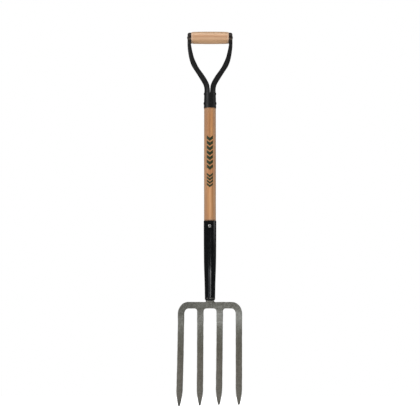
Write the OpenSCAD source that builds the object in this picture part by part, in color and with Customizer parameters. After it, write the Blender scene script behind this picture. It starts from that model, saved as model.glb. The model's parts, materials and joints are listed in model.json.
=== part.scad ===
// Digging fork: forged four-tine head, tapered steel ferrule, turned shaft and steel D-grip.
// Millimetres. +Z runs up the shaft, the front faces -Y, the tine tips stand on z = 0.

/* [Fork head] */
// Width across the outer tines
head_w = 177.8; // [140:0.2:220]
// Length from the tine tips to the foot tread
head_len = 284.2; // [220:0.2:340]
// Distance between neighbouring tine centres
tine_pitch = 53.3; // [42:0.1:64]
// Width of a tine and height of the crossbar
tine_w = 17.8; // [12:0.1:24]
// Thickness of the crossbar and of the tines at their roots
bar_t = 11.5; // [9.5:0.1:18]
// Inner radius of the bends at the crossbar's ends
bend_r = 12.6; // [8:0.1:20]
// Fillet radius between the crossbar and the two middle tines
root_r = 7.5; // [4:0.1:12]
// Edge bevel along the front
front_bevel = 1.8; // [0.8:0.1:3]
// Edge bevel along the back
back_bevel = 3; // [1:0.1:4.5]
// Radius of the tines' curved front
front_curve_r = 2400; // [1500:10:6000]
// Radius of the tines' curved back
back_curve_r = 1700; // [1200:10:5000]
// Length of a tine's point
point_len = 42; // [25:1:70]

/* [Neck and tang] */
// Radius of the round neck
neck_r = 10.5; // [8:0.1:13]
// Neck length that shows between the tread and the ferrule
neck_show = 3.6; // [2:0.1:10]
// Length of the tang inside the shaft
tang_len = 150; // [90:1:200]
// Radius of the tang at the neck
tang_r = 8; // [5:0.1:9.5]
// Radius of the tang at its tip
tang_tip_r = 3.5; // [2:0.1:6]

/* [Ferrule] */
// Ferrule length
ferrule_len = 218.6; // [150:0.2:280]
// Ferrule radius at the top edge
ferrule_top_r = 17.35; // [15:0.05:20]
// Ferrule radius just above the bottom lip
ferrule_low_r = 14.1; // [12:0.05:17]
// Ferrule wall thickness
ferrule_wall = 0.95; // [0.8:0.05:1.6]
// Height of the turned-in lip at the bottom
lip_h = 4; // [2:0.1:8]
// Distance of the ferrule rivet below the top edge
ferrule_rivet_drop = 15.2; // [9:0.1:30]

/* [Shaft] */
// Shaft length that shows between the ferrule and the D-grip
shaft_show = 313.4; // [150:0.1:800]
// Shaft diameter
shaft_d = 32.7; // [28:0.1:38]
// Length of the tenon inside the D-grip's socket
tenon_len = 43; // [30:0.5:60]

/* [D-grip] */
// Height of the grip's axis above the socket's lower rim
grip_rise = 196.7; // [150:0.1:240]
// Width across the two arms
yoke_w = 124.4; // [105:0.2:150]
// Clear width between the arms at the grip
grip_clear = 104; // [85:0.2:128]
// Outer radius of the socket's waist
socket_r = 15.5; // [14:0.1:18]
// Sheet thickness of the steel halves
sheet = 1.6; // [1.2:0.1:2.5]
// Outer radius of the eye cups that hold the grip
eye_r = 14.4; // [11:0.1:18]
// Half of the gap between the two halves at the seam
seam_half = 0.5; // [0.2:0.05:1.5]
// Height of the lower socket rivet above the rim
low_rivet_rise = 12.7; // [9:0.1:20]
// Height of the upper socket rivet above the rim
high_rivet_rise = 39; // [28:0.1:50]

/* [Cross grip] */
// Radius of the wooden grip at its middle
grip_r = 17.2; // [14.5:0.1:20]
// Radius of the wooden grip at its end faces
grip_end_r = 15.4; // [13.5:0.1:18]
// Width of the turned bead at each end
bead_w = 4.4; // [2:0.1:8]
// Depth of the groove inside each bead
groove_d = 0.5; // [0.2:0.1:1.2]

/* [Rivets] */
// Shank radius of the socket and ferrule rivets
rivet_r = 2.9; // [2:0.1:4]
// Head radius of the socket and ferrule rivets
rivet_head_r = 5; // [3.5:0.1:7]
// Height of a rivet head above the surface
rivet_head_h = 1.7; // [1:0.1:3]
// Shank radius of the grip rod
rod_r = 3.5; // [2.5:0.1:5]
// Head radius of the grip rod
rod_head_r = 5; // [4:0.1:8]
// Height of the grip rod's heads
rod_head_h = 1.2; // [0.8:0.1:3]

/* [Hidden] */
$fn = 64;

snug = 0.05;                              // clearance between pieces driven together
ease = 0.1;                               // clearance around shanks, tang and tenons
lap = 2;                                  // overrun of cutting shapes
boss_r = 13;                              // swelling of the neck on the crossbar; fixed, other values leave gaps
side_x = head_w / 2 - tine_w / 2;         // centre of an outer tine
mid_x = tine_pitch / 2;                   // centre of a middle tine
bend_z = head_len - tine_w - bend_r;      // where the bends turn into the tines
bend_x = head_w / 2 - tine_w - bend_r;    // where the bends turn into the crossbar
bar_z = head_len - tine_w;                // underside of the crossbar
ferrule_z = head_len + neck_show;         // bottom of the ferrule
ferrule_top = ferrule_z + ferrule_len;
socket_z = ferrule_top + shaft_show;      // lower rim of the D-grip's socket
grip_z = socket_z + grip_rise;            // axis of the cross grip
shaft_r = shaft_d / 2;
arm_x = yoke_w / 2;                       // outer face of an arm
clear_x = grip_clear / 2;                 // inner edge of an arm beside the grip
flare = arm_x - socket_r;

// A smooth curve through the points P, with n steps between neighbours
function blend(a, b, c, d, t) =
    0.5 * (2 * b + (c - a) * t + (2 * a - 5 * b + 4 * c - d) * t * t
    + (3 * b - a - 3 * c + d) * t * t * t);
function smooth(P, n) = let (e = len(P) - 1) concat(
    [for (i = [0:e - 1]) for (k = [0:n - 1])
        blend(P[max(i - 1, 0)], P[i], P[i + 1], P[min(i + 2, e)], k / n)],
    [P[e]]);
// The curve P moved sideways by d, to the left of its direction of travel
function inset(P, d) = let (e = len(P) - 1)
    [for (i = [0:e]) let (s = P[min(i + 1, e)] - P[max(i - 1, 0)], u = s / norm(s))
        P[i] + d * [-u[1], u[0]]];

// ---- fork head ----

// Bevelled bar section: across = tine width direction, deep = front (negative) to back
module bar_section() {
    w = tine_w / 2;
    t = bar_t / 2;
    polygon([[-w, t - back_bevel], [-w, front_bevel - t], [front_bevel - w, -t],
             [w - front_bevel, -t], [w, front_bevel - t], [w, t - back_bevel],
             [w - back_bevel, t], [back_bevel - w, t]]);
}

// Sweeps a section about an axis along X through y = -r, from angle a down
module bow(r, y0, a) {
    translate([0, y0 - r, bend_z])
        rotate([90, 0, 90])
            rotate([0, 0, -a])
                rotate_extrude(angle = a, $fn = 720)
                    children();
}

// Section of the tines' fronts, open to the back
module front_section(x) {
    w = tine_w / 2;
    r = front_curve_r;
    polygon([[r, x + front_bevel - w], [r, x + w - front_bevel], [r + front_bevel, x + w],
             [r + 2 * bar_t, x + w], [r + 2 * bar_t, x - w], [r + front_bevel, x - w]]);
}

// Section of the tines' backs, open to the front and to both sides
module back_section(x) {
    w = tine_w / 2;
    r = back_curve_r;
    polygon([[r, x + back_bevel - w], [r, x + w - back_bevel],
             [r - back_bevel - lap, x + w + lap], [r - 3 * bar_t, x + w + lap],
             [r - 3 * bar_t, x - w - lap], [r - back_bevel - lap, x - w - lap]]);
}

// Outline of one tine's point, seen from the front
module point_front(x) {
    half = concat([[1.7, 0]], smooth([[2.6, 1.2], [3.7, 5], [5.6, 14], [7.3, 24],
                                      [8.5, 34], [tine_w / 2 + 0.02, point_len]], 3),
                  [[tine_w / 2 + lap, point_len + lap], [tine_w / 2 + lap, bend_z + lap]]);
    back = [for (i = [len(half) - 1:-1:0]) [-half[i][0], half[i][1]]];
    translate([x, 0])
        polygon(concat(half, back));
}

// Side view of the tines' points: y against z
module point_side() {
    y0 = -bar_t / 2 - pow(bend_z, 2) / (2 * front_curve_r);
    polygon([[y0 + 2.0, 0], [y0 + 1.1, 2.5], [y0 + 0.4, 12], [y0 - lap, 36],
             [y0 - lap, bend_z + lap], [bar_t, bend_z + lap], [bar_t, 60],
             [y0 + 9.4, 36], [y0 + 7.2, 20], [y0 + 5.8, 9], [y0 + 4.9, 2.5], [y0 + 3.9, 0]]);
}

module tine(x) {
    intersection() {
        bow(front_curve_r, -bar_t / 2, asin((bend_z + lap) / front_curve_r))
            front_section(x);
        bow(back_curve_r, bar_t / 2, asin((bend_z + lap) / back_curve_r))
            back_section(x);
        rotate([90, 0, 0])
            linear_extrude(height = 6 * bar_t, center = true)
                point_front(x);
        rotate([90, 0, 90])
            linear_extrude(height = 2 * head_w, center = true)
                point_side();
    }
}

// Chamfered concave fillet between the crossbar and the right side of a tine at x
module root_fillet(x) {
    r = root_r;
    t = bar_t / 2;
    out = 1.5 * r + lap;
    translate([x + tine_w / 2 + r, 0, bar_z - r])
        rotate([90, 0, 0])
            rotate([0, 0, 90])
                rotate_extrude(angle = 90)
                    polygon([[r, t - front_bevel], [r, back_bevel - t], [r + back_bevel, -t],
                             [out, -t], [out, t], [r + front_bevel, t]]);
}

module crossbar() {
    translate([0, 0, bar_z + tine_w / 2])
        rotate([90, 0, 90])
            linear_extrude(height = 2 * bend_x, center = true)
                rotate(90)
                    mirror([0, 1, 0])
                        bar_section();
    for (s = [0, 1])
        mirror([s, 0, 0])
            translate([bend_x, 0, bend_z])
                rotate([90, 0, 0])
                    rotate_extrude(angle = 90)
                        translate([bend_r + tine_w / 2, 0])
                            mirror([0, 1, 0])
                                bar_section();
}

// Neck, its swelling on the crossbar and the tang, turned in one piece
module neck() {
    top = ferrule_z + lip_h;
    cz = bar_z + boss_r + 2;
    cut = head_len - cz;
    rotate_extrude() {
        intersection() {
            translate([0, cz])
                circle(r = boss_r);
            translate([0, cz - boss_r])
                square([boss_r, boss_r + cut]);
        }
        polygon([[0, head_len - lap], [sqrt(pow(boss_r, 2) - pow(cut, 2)) - lap, head_len - lap],
                 [sqrt(pow(boss_r, 2) - pow(cut, 2)), head_len],
                 [neck_r, ferrule_z - 0.4], [neck_r, top], [tang_r, top],
                 [tang_tip_r, top + tang_len], [0, top + tang_len]]);
    }
}

module fork_head() {
    color([0.42, 0.42, 0.40]) {
        for (x = [-side_x, -mid_x, mid_x, side_x])
            tine(x);
        for (x = [-side_x, -mid_x, mid_x, side_x])
            translate([x, 0, bend_z])
                cube([tine_w / 2, bar_t / 2, 2 * lap], center = true);
        for (x = [-mid_x, mid_x])
            translate([x, 0, bend_z])
                linear_extrude(height = bar_z - bend_z + tine_w / 2)
                    bar_section();
        for (s = [0, 1])
            mirror([s, 0, 0]) {
                root_fillet(mid_x);
                mirror([1, 0, 0])
                    root_fillet(-mid_x);
            }
        crossbar();
        neck();
    }
}

// ---- ferrule and shaft ----

// Outer radius of the ferrule against height above its bottom
swell = ferrule_top_r - ferrule_low_r;
ferrule_curve = smooth([[ferrule_low_r, lip_h], [ferrule_low_r + 0.09 * swell, 0.1 * ferrule_len],
    [ferrule_low_r + 0.21 * swell, 0.2 * ferrule_len], [ferrule_low_r + 0.4 * swell, 0.3 * ferrule_len],
    [ferrule_low_r + 0.69 * swell, 0.41 * ferrule_len], [ferrule_low_r + 0.86 * swell, 0.55 * ferrule_len],
    [ferrule_low_r + 0.95 * swell, 0.75 * ferrule_len], [ferrule_top_r, ferrule_len]], 2);

module ferrule() {
    hole = neck_r + ease;
    color([0.05, 0.05, 0.05])
        difference() {
            translate([0, 0, ferrule_z])
                rotate_extrude()
                    difference() {
                        polygon(concat([[hole, 0], [hole + ferrule_wall, 0]], ferrule_curve,
                                       [[hole, ferrule_len]]));
                        polygon(concat([[0, lip_h / 2], [hole, lip_h / 2]],
                                       [for (p = ferrule_curve) [p[0] - ferrule_wall, p[1] + 0.3]],
                                       [[0, ferrule_len + 0.3]]));
                    }
            rivet_hole_y(ferrule_top - ferrule_rivet_drop, rivet_r + ease);
        }
}

module rivet_hole_y(z, r) {
    translate([0, 0, z])
        rotate([90, 0, 0])
            cylinder(r = r, h = 4 * shaft_r, center = true);
}

module rivet_hole_x(z, r) {
    translate([0, 0, z])
        rotate([0, 90, 0])
            cylinder(r = r, h = 4 * shaft_r, center = true);
}

module shaft() {
    gap = ferrule_wall + snug;
    low = lip_h + 2;
    foot = [for (p = ferrule_curve) if (p[1] > low) [p[0] - gap, ferrule_z + p[1]]];
    top = socket_z + tenon_len;
    color([0.73, 0.53, 0.36])
        difference() {
            rotate_extrude()
                polygon(concat([[0, ferrule_z + low], [foot[0][0] - 1, ferrule_z + low],
                                [foot[0][0] - 0.05, ferrule_z + low + 1.5]], foot,
                               [[shaft_r, ferrule_top + 0.6], [shaft_r, socket_z - 0.6],
                                [shaft_r - 0.4, socket_z - 0.2],
                                [socket_r - sheet + 0.45, socket_z - 0.2],
                                [socket_r - sheet - ease, top - 2],
                                [socket_r - sheet - 1.5, top], [0, top]]));
            translate([0, 0, ferrule_z + lip_h])
                cylinder(r1 = tang_r + ease, r2 = tang_tip_r + ease, h = tang_len + 1);
            rivet_hole_y(ferrule_top - ferrule_rivet_drop, rivet_r + ease);
            for (rise = [low_rivet_rise, high_rivet_rise])
                rivet_hole_x(socket_z + rise, rivet_r + ease);
        }
}

// ---- rivets ----

// Shank with a domed head at each end, along Z, centred; grip is the length between head seats
module rivet(r, head_r, head_h, grip) {
    cap = (pow(head_r, 2) + pow(head_h, 2)) / (2 * head_h);
    cylinder(r = r, h = grip, center = true);
    for (s = [0, 1])
        mirror([0, 0, s])
            translate([0, 0, grip / 2])
                intersection() {
                    translate([0, 0, head_h - cap])
                        sphere(r = cap);
                    translate([0, 0, -1.5])
                        cylinder(r = head_r, h = head_h + lap);
                }
}

module ferrule_rivet() {
    z = ferrule_top - ferrule_rivet_drop;
    color([0.72, 0.72, 0.70])
        difference() {
            translate([0, 0, z])
                rotate([90, 0, 0])
                    rivet(rivet_r, rivet_head_r, rivet_head_h, 2 * ferrule_top_r);
            difference() {
                translate([0, 0, ferrule_z])
                    rotate_extrude()
                        polygon(concat([[rivet_r, lip_h]],
                                       [for (p = ferrule_curve) [p[0] + 0.02, p[1]]],
                                       [[rivet_r, ferrule_len]]));
                rivet_hole_y(z, rivet_r);
            }
        }
}

// Rivet through the socket at a height above the rim; seat is where its heads rest
module socket_rivet(rise, seat) {
    z = socket_z + rise;
    color([0.06, 0.06, 0.06])
        difference() {
            translate([0, 0, z])
                rotate([0, 90, 0])
                    rivet(rivet_r, rivet_head_r, rivet_head_h - 0.5, 2 * seat);
            difference() {
                yoke_turned(0.02, 0);
                rivet_hole_x(z, rivet_r);
            }
        }
}

module socket_rivet_upper() {
    socket_rivet(high_rivet_rise, socket_r + 0.6);
}

module socket_rivet_lower() {
    socket_rivet(low_rivet_rise, socket_r + 1.35);
}

module grip_rod() {
    color([0.09, 0.09, 0.09])
        translate([0, 0, grip_z])
            rotate([0, 90, 0])
                rivet(rod_r, rod_head_r, rod_head_h, yoke_w + 0.1);
}

// ---- D-grip halves ----

// Outer outline of the right half: x against height above the rim
yoke_outer = smooth([[socket_r + 1.85, 0], [socket_r + 1.5, 5], [socket_r + 1.2, 12],
    [socket_r + 1.0, 26], [socket_r + 0.4, 42], [socket_r, 51],
    [socket_r + 0.026 * flare, 0.306 * grip_rise], [socket_r + 0.07 * flare, 0.338 * grip_rise],
    [socket_r + 0.184 * flare, 0.389 * grip_rise], [socket_r + 0.355 * flare, 0.459 * grip_rise],
    [socket_r + 0.542 * flare, 0.528 * grip_rise], [socket_r + 0.73 * flare, 0.6 * grip_rise],
    [socket_r + 0.851 * flare, 0.671 * grip_rise], [socket_r + 0.923 * flare, 0.742 * grip_rise],
    [socket_r + 0.968 * flare, 0.812 * grip_rise], [arm_x, 0.885 * grip_rise],
    [arm_x, 0.97 * grip_rise], [arm_x - 0.5, 1.03 * grip_rise],
    [arm_x - 1.6, grip_rise + eye_r - 1], [arm_x - 4, grip_rise + eye_r + 1]], 3);

// Inner outline of the right half, beside the hand opening
yoke_inner = concat([[seam_half, -lap], [seam_half, 34]], smooth([[seam_half, 40],
    [seam_half + 0.2, 0.25 * grip_rise], [seam_half + 0.8, 0.285 * grip_rise],
    [0.048 * clear_x, 0.322 * grip_rise], [0.102 * clear_x, 0.359 * grip_rise],
    [0.217 * clear_x, 0.416 * grip_rise], [0.356 * clear_x, 0.472 * grip_rise],
    [0.508 * clear_x, 0.528 * grip_rise], [0.642 * clear_x, 0.584 * grip_rise],
    [0.734 * clear_x, 0.634 * grip_rise], [0.806 * clear_x, 0.676 * grip_rise],
    [0.877 * clear_x, 0.728 * grip_rise], [0.915 * clear_x, 0.769 * grip_rise],
    [0.957 * clear_x, 0.814 * grip_rise], [0.9875 * clear_x, 0.857 * grip_rise],
    [clear_x, 0.896 * grip_rise]], 3), [[clear_x, grip_rise + 2 * eye_r]]);

// Half depth of the arms, front to back, against height above the rim
yoke_side = smooth([[socket_r + 1.2, 44], [socket_r, 52], [socket_r - 0.7, 62],
    [socket_r - 1.5, 76], [socket_r - 2.2, 96], [eye_r - 1.6, 0.68 * grip_rise],
    [eye_r - 1.6, 0.86 * grip_rise], [eye_r - 1.2, 0.94 * grip_rise], [eye_r - 0.9, grip_rise]], 3);

// Turned body of both halves, grown by the given amount; skin moves the surface inwards
module yoke_turned(grow, skin) {
    path = inset(yoke_outer, skin - grow);
    last = path[len(path) - 1];
    translate([0, 0, socket_z])
        rotate_extrude($fn = 96)
            polygon(concat([[0, -skin], [path[0][0], -skin]], path, [[0, last[1]]]));
}

// Side view of the arms and eyes, extruded across the fork
module yoke_sides(skin) {
    half = [for (p = yoke_side) [p[0] - skin, p[1]]];
    back = [for (i = [len(half) - 1:-1:0]) [-half[i][0], half[i][1]]];
    wide = socket_r + 6;
    translate([0, 0, socket_z])
        rotate([90, 0, 90])
            linear_extrude(height = 2 * yoke_w, center = true) {
                polygon(concat([[-wide, -lap], [wide, -lap], [wide, 44 - skin]], half, back,
                               [[-wide, 44 - skin]]));
                translate([0, grip_rise])
                    circle(r = eye_r - skin);
            }
}

module yoke_half() {
    difference() {
        intersection() {
            yoke_turned(0, 0);
            yoke_sides(0);
        }
        intersection() {
            yoke_turned(0, sheet);
            yoke_sides(sheet);
        }
        translate([0, 0, socket_z])
            rotate([90, 0, 0])
                linear_extrude(height = 4 * eye_r, center = true)
                    polygon(concat([[-yoke_w, -lap]], yoke_inner,
                                   [[-yoke_w, grip_rise + 2 * eye_r]]));
        for (rise = [low_rivet_rise, high_rivet_rise])
            rivet_hole_x(socket_z + rise, rivet_r + ease);
        translate([0, 0, grip_z])
            rotate([0, 90, 0])
                cylinder(r = rod_r + ease, h = 2 * yoke_w, center = true);
    }
}

module yoke_right() {
    color([0.13, 0.13, 0.13])
        yoke_half();
}

module yoke_left() {
    color([0.13, 0.13, 0.13])
        mirror([1, 0, 0])
            yoke_half();
}

// ---- cross grip ----

module cross_grip() {
    end = clear_x - ease;
    g = end - bead_w;
    tenon_r = eye_r - sheet - ease;
    tenon = arm_x - sheet - 1.7;
    r1 = grip_r - 0.6;
    half = concat([[tenon_r - 0.5, -tenon], [tenon_r, 0.5 - tenon], [tenon_r, -end],
                   [grip_end_r - 0.4, -end], [grip_end_r, 0.5 - end], [r1 - 0.35, -g - 0.9],
                   [r1 - 0.1 - groove_d, -g], [r1, 0.8 - g]],
                  smooth([[r1 + 0.05, 2 - g], [grip_r - 0.22, -0.5 * g], [grip_r, 0]], 4));
    back = [for (i = [len(half) - 2:-1:0]) [half[i][0], -half[i][1]]];
    color([0.80, 0.62, 0.45])
        translate([0, 0, grip_z])
            rotate([0, 90, 0])
                difference() {
                    rotate_extrude()
                        polygon(concat([[0, -tenon]], half, back, [[0, tenon]]));
                    cylinder(r = rod_r + ease, h = 3 * tenon, center = true);
                }
}

fork_head();
ferrule();
ferrule_rivet();
shaft();
yoke_left();
yoke_right();
socket_rivet_upper();
socket_rivet_lower();
cross_grip();
grip_rod();
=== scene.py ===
"""Looks of the digging fork: detailed pieces, procedural materials, studio and camera round the CAD frame.

Metres throughout; lengths written with MM are millimetres. +Z runs up the shaft and the front faces -Y.
"""

import json
import math

import bmesh
import bpy
import numpy as np
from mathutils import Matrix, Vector, noise

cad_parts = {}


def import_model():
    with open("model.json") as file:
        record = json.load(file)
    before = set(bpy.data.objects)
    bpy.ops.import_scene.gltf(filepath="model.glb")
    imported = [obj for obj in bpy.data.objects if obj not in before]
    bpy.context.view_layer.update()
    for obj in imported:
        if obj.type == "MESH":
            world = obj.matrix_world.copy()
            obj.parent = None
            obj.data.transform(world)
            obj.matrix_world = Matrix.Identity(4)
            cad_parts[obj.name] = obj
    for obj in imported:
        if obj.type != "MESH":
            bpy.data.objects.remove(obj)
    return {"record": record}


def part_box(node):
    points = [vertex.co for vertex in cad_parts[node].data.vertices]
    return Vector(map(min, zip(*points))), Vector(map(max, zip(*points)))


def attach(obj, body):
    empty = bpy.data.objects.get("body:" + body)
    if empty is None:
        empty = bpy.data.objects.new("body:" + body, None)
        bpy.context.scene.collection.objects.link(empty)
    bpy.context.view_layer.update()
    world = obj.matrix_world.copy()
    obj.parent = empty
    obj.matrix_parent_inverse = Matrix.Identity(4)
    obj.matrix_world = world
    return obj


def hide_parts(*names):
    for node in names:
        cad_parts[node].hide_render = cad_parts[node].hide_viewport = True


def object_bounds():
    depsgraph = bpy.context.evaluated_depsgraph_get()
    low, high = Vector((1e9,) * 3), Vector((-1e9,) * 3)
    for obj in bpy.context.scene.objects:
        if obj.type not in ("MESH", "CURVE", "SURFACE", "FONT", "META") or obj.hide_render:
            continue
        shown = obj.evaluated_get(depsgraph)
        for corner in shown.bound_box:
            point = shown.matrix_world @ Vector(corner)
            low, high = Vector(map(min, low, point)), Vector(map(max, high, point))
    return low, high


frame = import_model()
cad_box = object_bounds()

MM = 0.001

# ---- measures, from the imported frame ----

MOUNTS = {mount["name"]: mount for mount in frame["record"]["mounts"]}
head_low, head_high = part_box("fork_head")
ferrule_low, ferrule_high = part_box("ferrule")
shaft_low, shaft_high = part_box("shaft")
yoke_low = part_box("yoke_right")[0]
grip_low, grip_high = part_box("cross_grip")
rod_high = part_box("grip_rod")[1]
rivet_low, rivet_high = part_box("ferrule_rivet")

tread_z = MOUNTS["left_tread"]["pos_m"][2]        # top of the crossbar
grip_z = (grip_low.z + grip_high.z) / 2           # axis of the cross grip
socket_z = yoke_low.z                             # lower rim of the D-grip's socket
shaft_r = (shaft_high.x - shaft_low.x) / 2
grip_rise = grip_z - socket_z
rivet_z = (rivet_low.z + rivet_high.z) / 2

# Fork head
TINE_W = 17.8 * MM                                # width of a tine and height of the crossbar
BAR_T = 11.5 * MM                                 # thickness of the crossbar
TINE_PITCH = 53.3 * MM
FRONT_EDGE = 2.0 * MM                             # rounding of the front edges
BACK_EDGE = 3.4 * MM                              # rounding of the back edges
ROOT_R = 7.5 * MM                                 # fillet between the crossbar and a middle tine
BEND_RX = 19.7 * MM                               # centre line of the end bends, across
BEND_RZ = 24.2 * MM                               # centre line of the end bends, upwards
NECK_R = 10.5 * MM
SHOULDER = 1.2 * MM                               # how far the tines' fronts stand proud of the crossbar
DRAWN_IN = 0.9 * MM                               # how far the bends pull the outer tines in
TINE_X = (head_low.x + TINE_W / 2 + DRAWN_IN, 0.3 * MM - TINE_PITCH / 2,
          TINE_PITCH / 2 - 0.1 * MM, head_high.x - TINE_W / 2 - DRAWN_IN)
TINE_SLIM = 0.3 * MM                              # taken off each side of a tine below its root
TINE_LEAN = (-5.0 * MM, -1.4 * MM, -2.7 * MM, -0.9 * MM)   # how far each tip wanders from straight
TINE_SHORT = (0.0, 2.2 * MM, 4.0 * MM, 4.0 * MM)           # how much each tine falls short
bar_z = tread_z - TINE_W / 2                      # middle of the crossbar
bend_z = bar_z - BEND_RZ                          # where the end bends start

# D-grip
SHEET = 1.6 * MM                                  # thickness of its steel
EYE_R = 14.4 * MM                                 # outer radius of the cups round the grip's ends
CLEAR_X = 52 * MM                                 # inner edge of an arm beside the grip

# Cross grip
BEAD_W = 4.4 * MM                                 # turned bead at each end
GRIP_END_R = 15.4 * MM


# ---- mesh tools ----

def smoothstep(low, high, value):
    """0 below low, 1 above high, and a smooth rise between them."""
    t = min(max((value - low) / (high - low), 0), 1)
    return t * t * (3 - 2 * t)


def curve_at(points, value):
    """The smooth curve through (position, height) points, read at a position."""
    if value <= points[0][0]:
        return points[0][1]
    if value >= points[-1][0]:
        return points[-1][1]
    last = len(points) - 1
    i = max(k for k in range(last) if points[k][0] <= value)
    here, there = points[i], points[i + 1]
    span = there[0] - here[0]
    before, after = points[max(i - 1, 0)], points[min(i + 2, last)]
    slope_here = (there[1] - before[1]) / (there[0] - before[0])
    slope_there = (after[1] - here[1]) / (after[0] - here[0])
    t = (value - here[0]) / span
    return ((2 * t ** 3 - 3 * t ** 2 + 1) * here[1] + (t ** 3 - 2 * t ** 2 + t) * span * slope_here
            + (3 * t ** 2 - 2 * t ** 3) * there[1] + (t ** 3 - t ** 2) * span * slope_there)


def rounded(points, steps=5):
    """An outline of (a, b, radius) corners as plain points, with each corner turned on its radius."""
    out = []
    for i, (a, b, radius) in enumerate(points):
        here = Vector((a, b))
        if radius == 0 or i in (0, len(points) - 1):
            out.append(here)
            continue
        to_last = (Vector(points[i - 1][:2]) - here).normalized()
        to_next = (Vector(points[i + 1][:2]) - here).normalized()
        half = to_last.angle(to_next) / 2
        reach = radius / math.tan(half)
        centre = here + (to_last + to_next).normalized() * (radius / math.sin(half))
        start, end = here + to_last * reach - centre, here + to_next * reach - centre
        turn = end.angle_signed(start)
        for k in range(steps + 1):
            c, s = math.cos(turn * k / steps), math.sin(turn * k / steps)
            out.append(centre + Vector((start.x * c - start.y * s, start.x * s + start.y * c)))
    return out


def loft(rings, caps=True, closed=True):
    """Vertices and faces of a skin over rings of equal length; caps closes both ends."""
    count = len(rings[0])
    verts = [tuple(p) for ring in rings for p in ring]
    faces = []
    for i in range(len(rings) - 1):
        for k in range(count if closed else count - 1):
            n = (k + 1) % count
            faces.append((i * count + k, i * count + n, (i + 1) * count + n, (i + 1) * count + k))
    if caps:
        faces.append(tuple(range(count - 1, -1, -1)))
        faces.append(tuple(range((len(rings) - 1) * count, len(rings) * count)))
    return verts, faces


def turned(profile, axis="Z", centre=(0, 0, 0), segments=96):
    """A turned solid: profile runs (radius, height) from the axis to the axis, or in a closed loop."""
    rings = []
    for k in range(segments):
        angle = 2 * math.pi * k / segments
        c, s = math.cos(angle), math.sin(angle)
        ring = []
        for radius, height in profile:
            local = {"Z": (radius * c, radius * s, height), "X": (height, radius * c, radius * s),
                     "Y": (radius * s, height, radius * c)}[axis]
            ring.append(Vector(centre) + Vector(local))
        rings.append(ring)
    return loft(rings + [rings[0]], caps=False, closed=profile[0][0] > 0)


def new_mesh(name, *parts, sharp=40):
    """One mesh object from (vertices, faces) parts, welded, facing outwards and shaded smooth."""
    mesh = bpy.data.meshes.new(name)
    bm = bmesh.new()
    for verts, faces in parts:
        made = [bm.verts.new(v) for v in verts]
        for face in faces:
            bm.faces.new([made[i] for i in face])
    bmesh.ops.remove_doubles(bm, verts=bm.verts, dist=0.004 * MM)
    bmesh.ops.dissolve_degenerate(bm, edges=bm.edges, dist=0.004 * MM)
    bmesh.ops.recalc_face_normals(bm, faces=bm.faces)
    bm.to_mesh(mesh)
    bm.free()
    mesh.shade_smooth()
    if sharp:
        mesh.set_sharp_from_angle(angle=math.radians(sharp))
    piece = bpy.data.objects.new(name, mesh)
    bpy.context.scene.collection.objects.link(piece)
    return piece


def applied(piece):
    """The piece with its modifiers turned into mesh."""
    bpy.context.view_layer.update()
    graph = bpy.context.evaluated_depsgraph_get()
    mesh = bpy.data.meshes.new_from_object(piece.evaluated_get(graph))
    piece.modifiers.clear()
    piece.data = mesh
    return piece


def places(mesh):
    """Where a mesh's vertices are, as an array."""
    co = np.zeros(len(mesh.vertices) * 3, np.float32)
    mesh.vertices.foreach_get("co", co)
    return co.reshape(-1, 3).astype(float)


def relax(piece, rounds, weight):
    """Evens out the surface; weight gives each place its share, from an array of places."""
    mesh = piece.data
    co = places(mesh)
    edges = np.zeros(len(mesh.edges) * 2, np.int32)
    mesh.edges.foreach_get("vertices", edges)
    a, b = edges.reshape(-1, 2).T
    count = np.bincount(a, minlength=len(co)) + np.bincount(b, minlength=len(co))
    share = weight(co)[:, None]
    for _ in range(rounds):
        total = np.zeros_like(co)
        np.add.at(total, a, co[b])
        np.add.at(total, b, co[a])
        co += share * (total / count[:, None] - co)
    mesh.vertices.foreach_set("co", co.astype(np.float32).ravel())
    mesh.update()


def dent(piece, waves):
    """Moves the surface along its normals by (amplitude, wavelength) layers of smooth noise."""
    mesh = piece.data
    normals = np.array([v.normal for v in mesh.vertices], float)
    co = places(mesh)
    push = np.zeros(len(co))
    for layer, (height, length) in enumerate(waves):
        shift = Vector((7.3 * layer, 3.1, 1.7))
        push += height * np.array([noise.noise(Vector(p) / length + shift) for p in co])
    co += normals * push[:, None]
    mesh.vertices.foreach_set("co", co.astype(np.float32).ravel())
    mesh.update()


def finish_piece(piece, node, material):
    """Puts a piece on the frame in place of its CAD node, with its finish."""
    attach(piece, "root")
    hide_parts(node)
    piece.data.materials.clear()
    piece.data.materials.append(material)
    return piece


# ---- material tools ----

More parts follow.
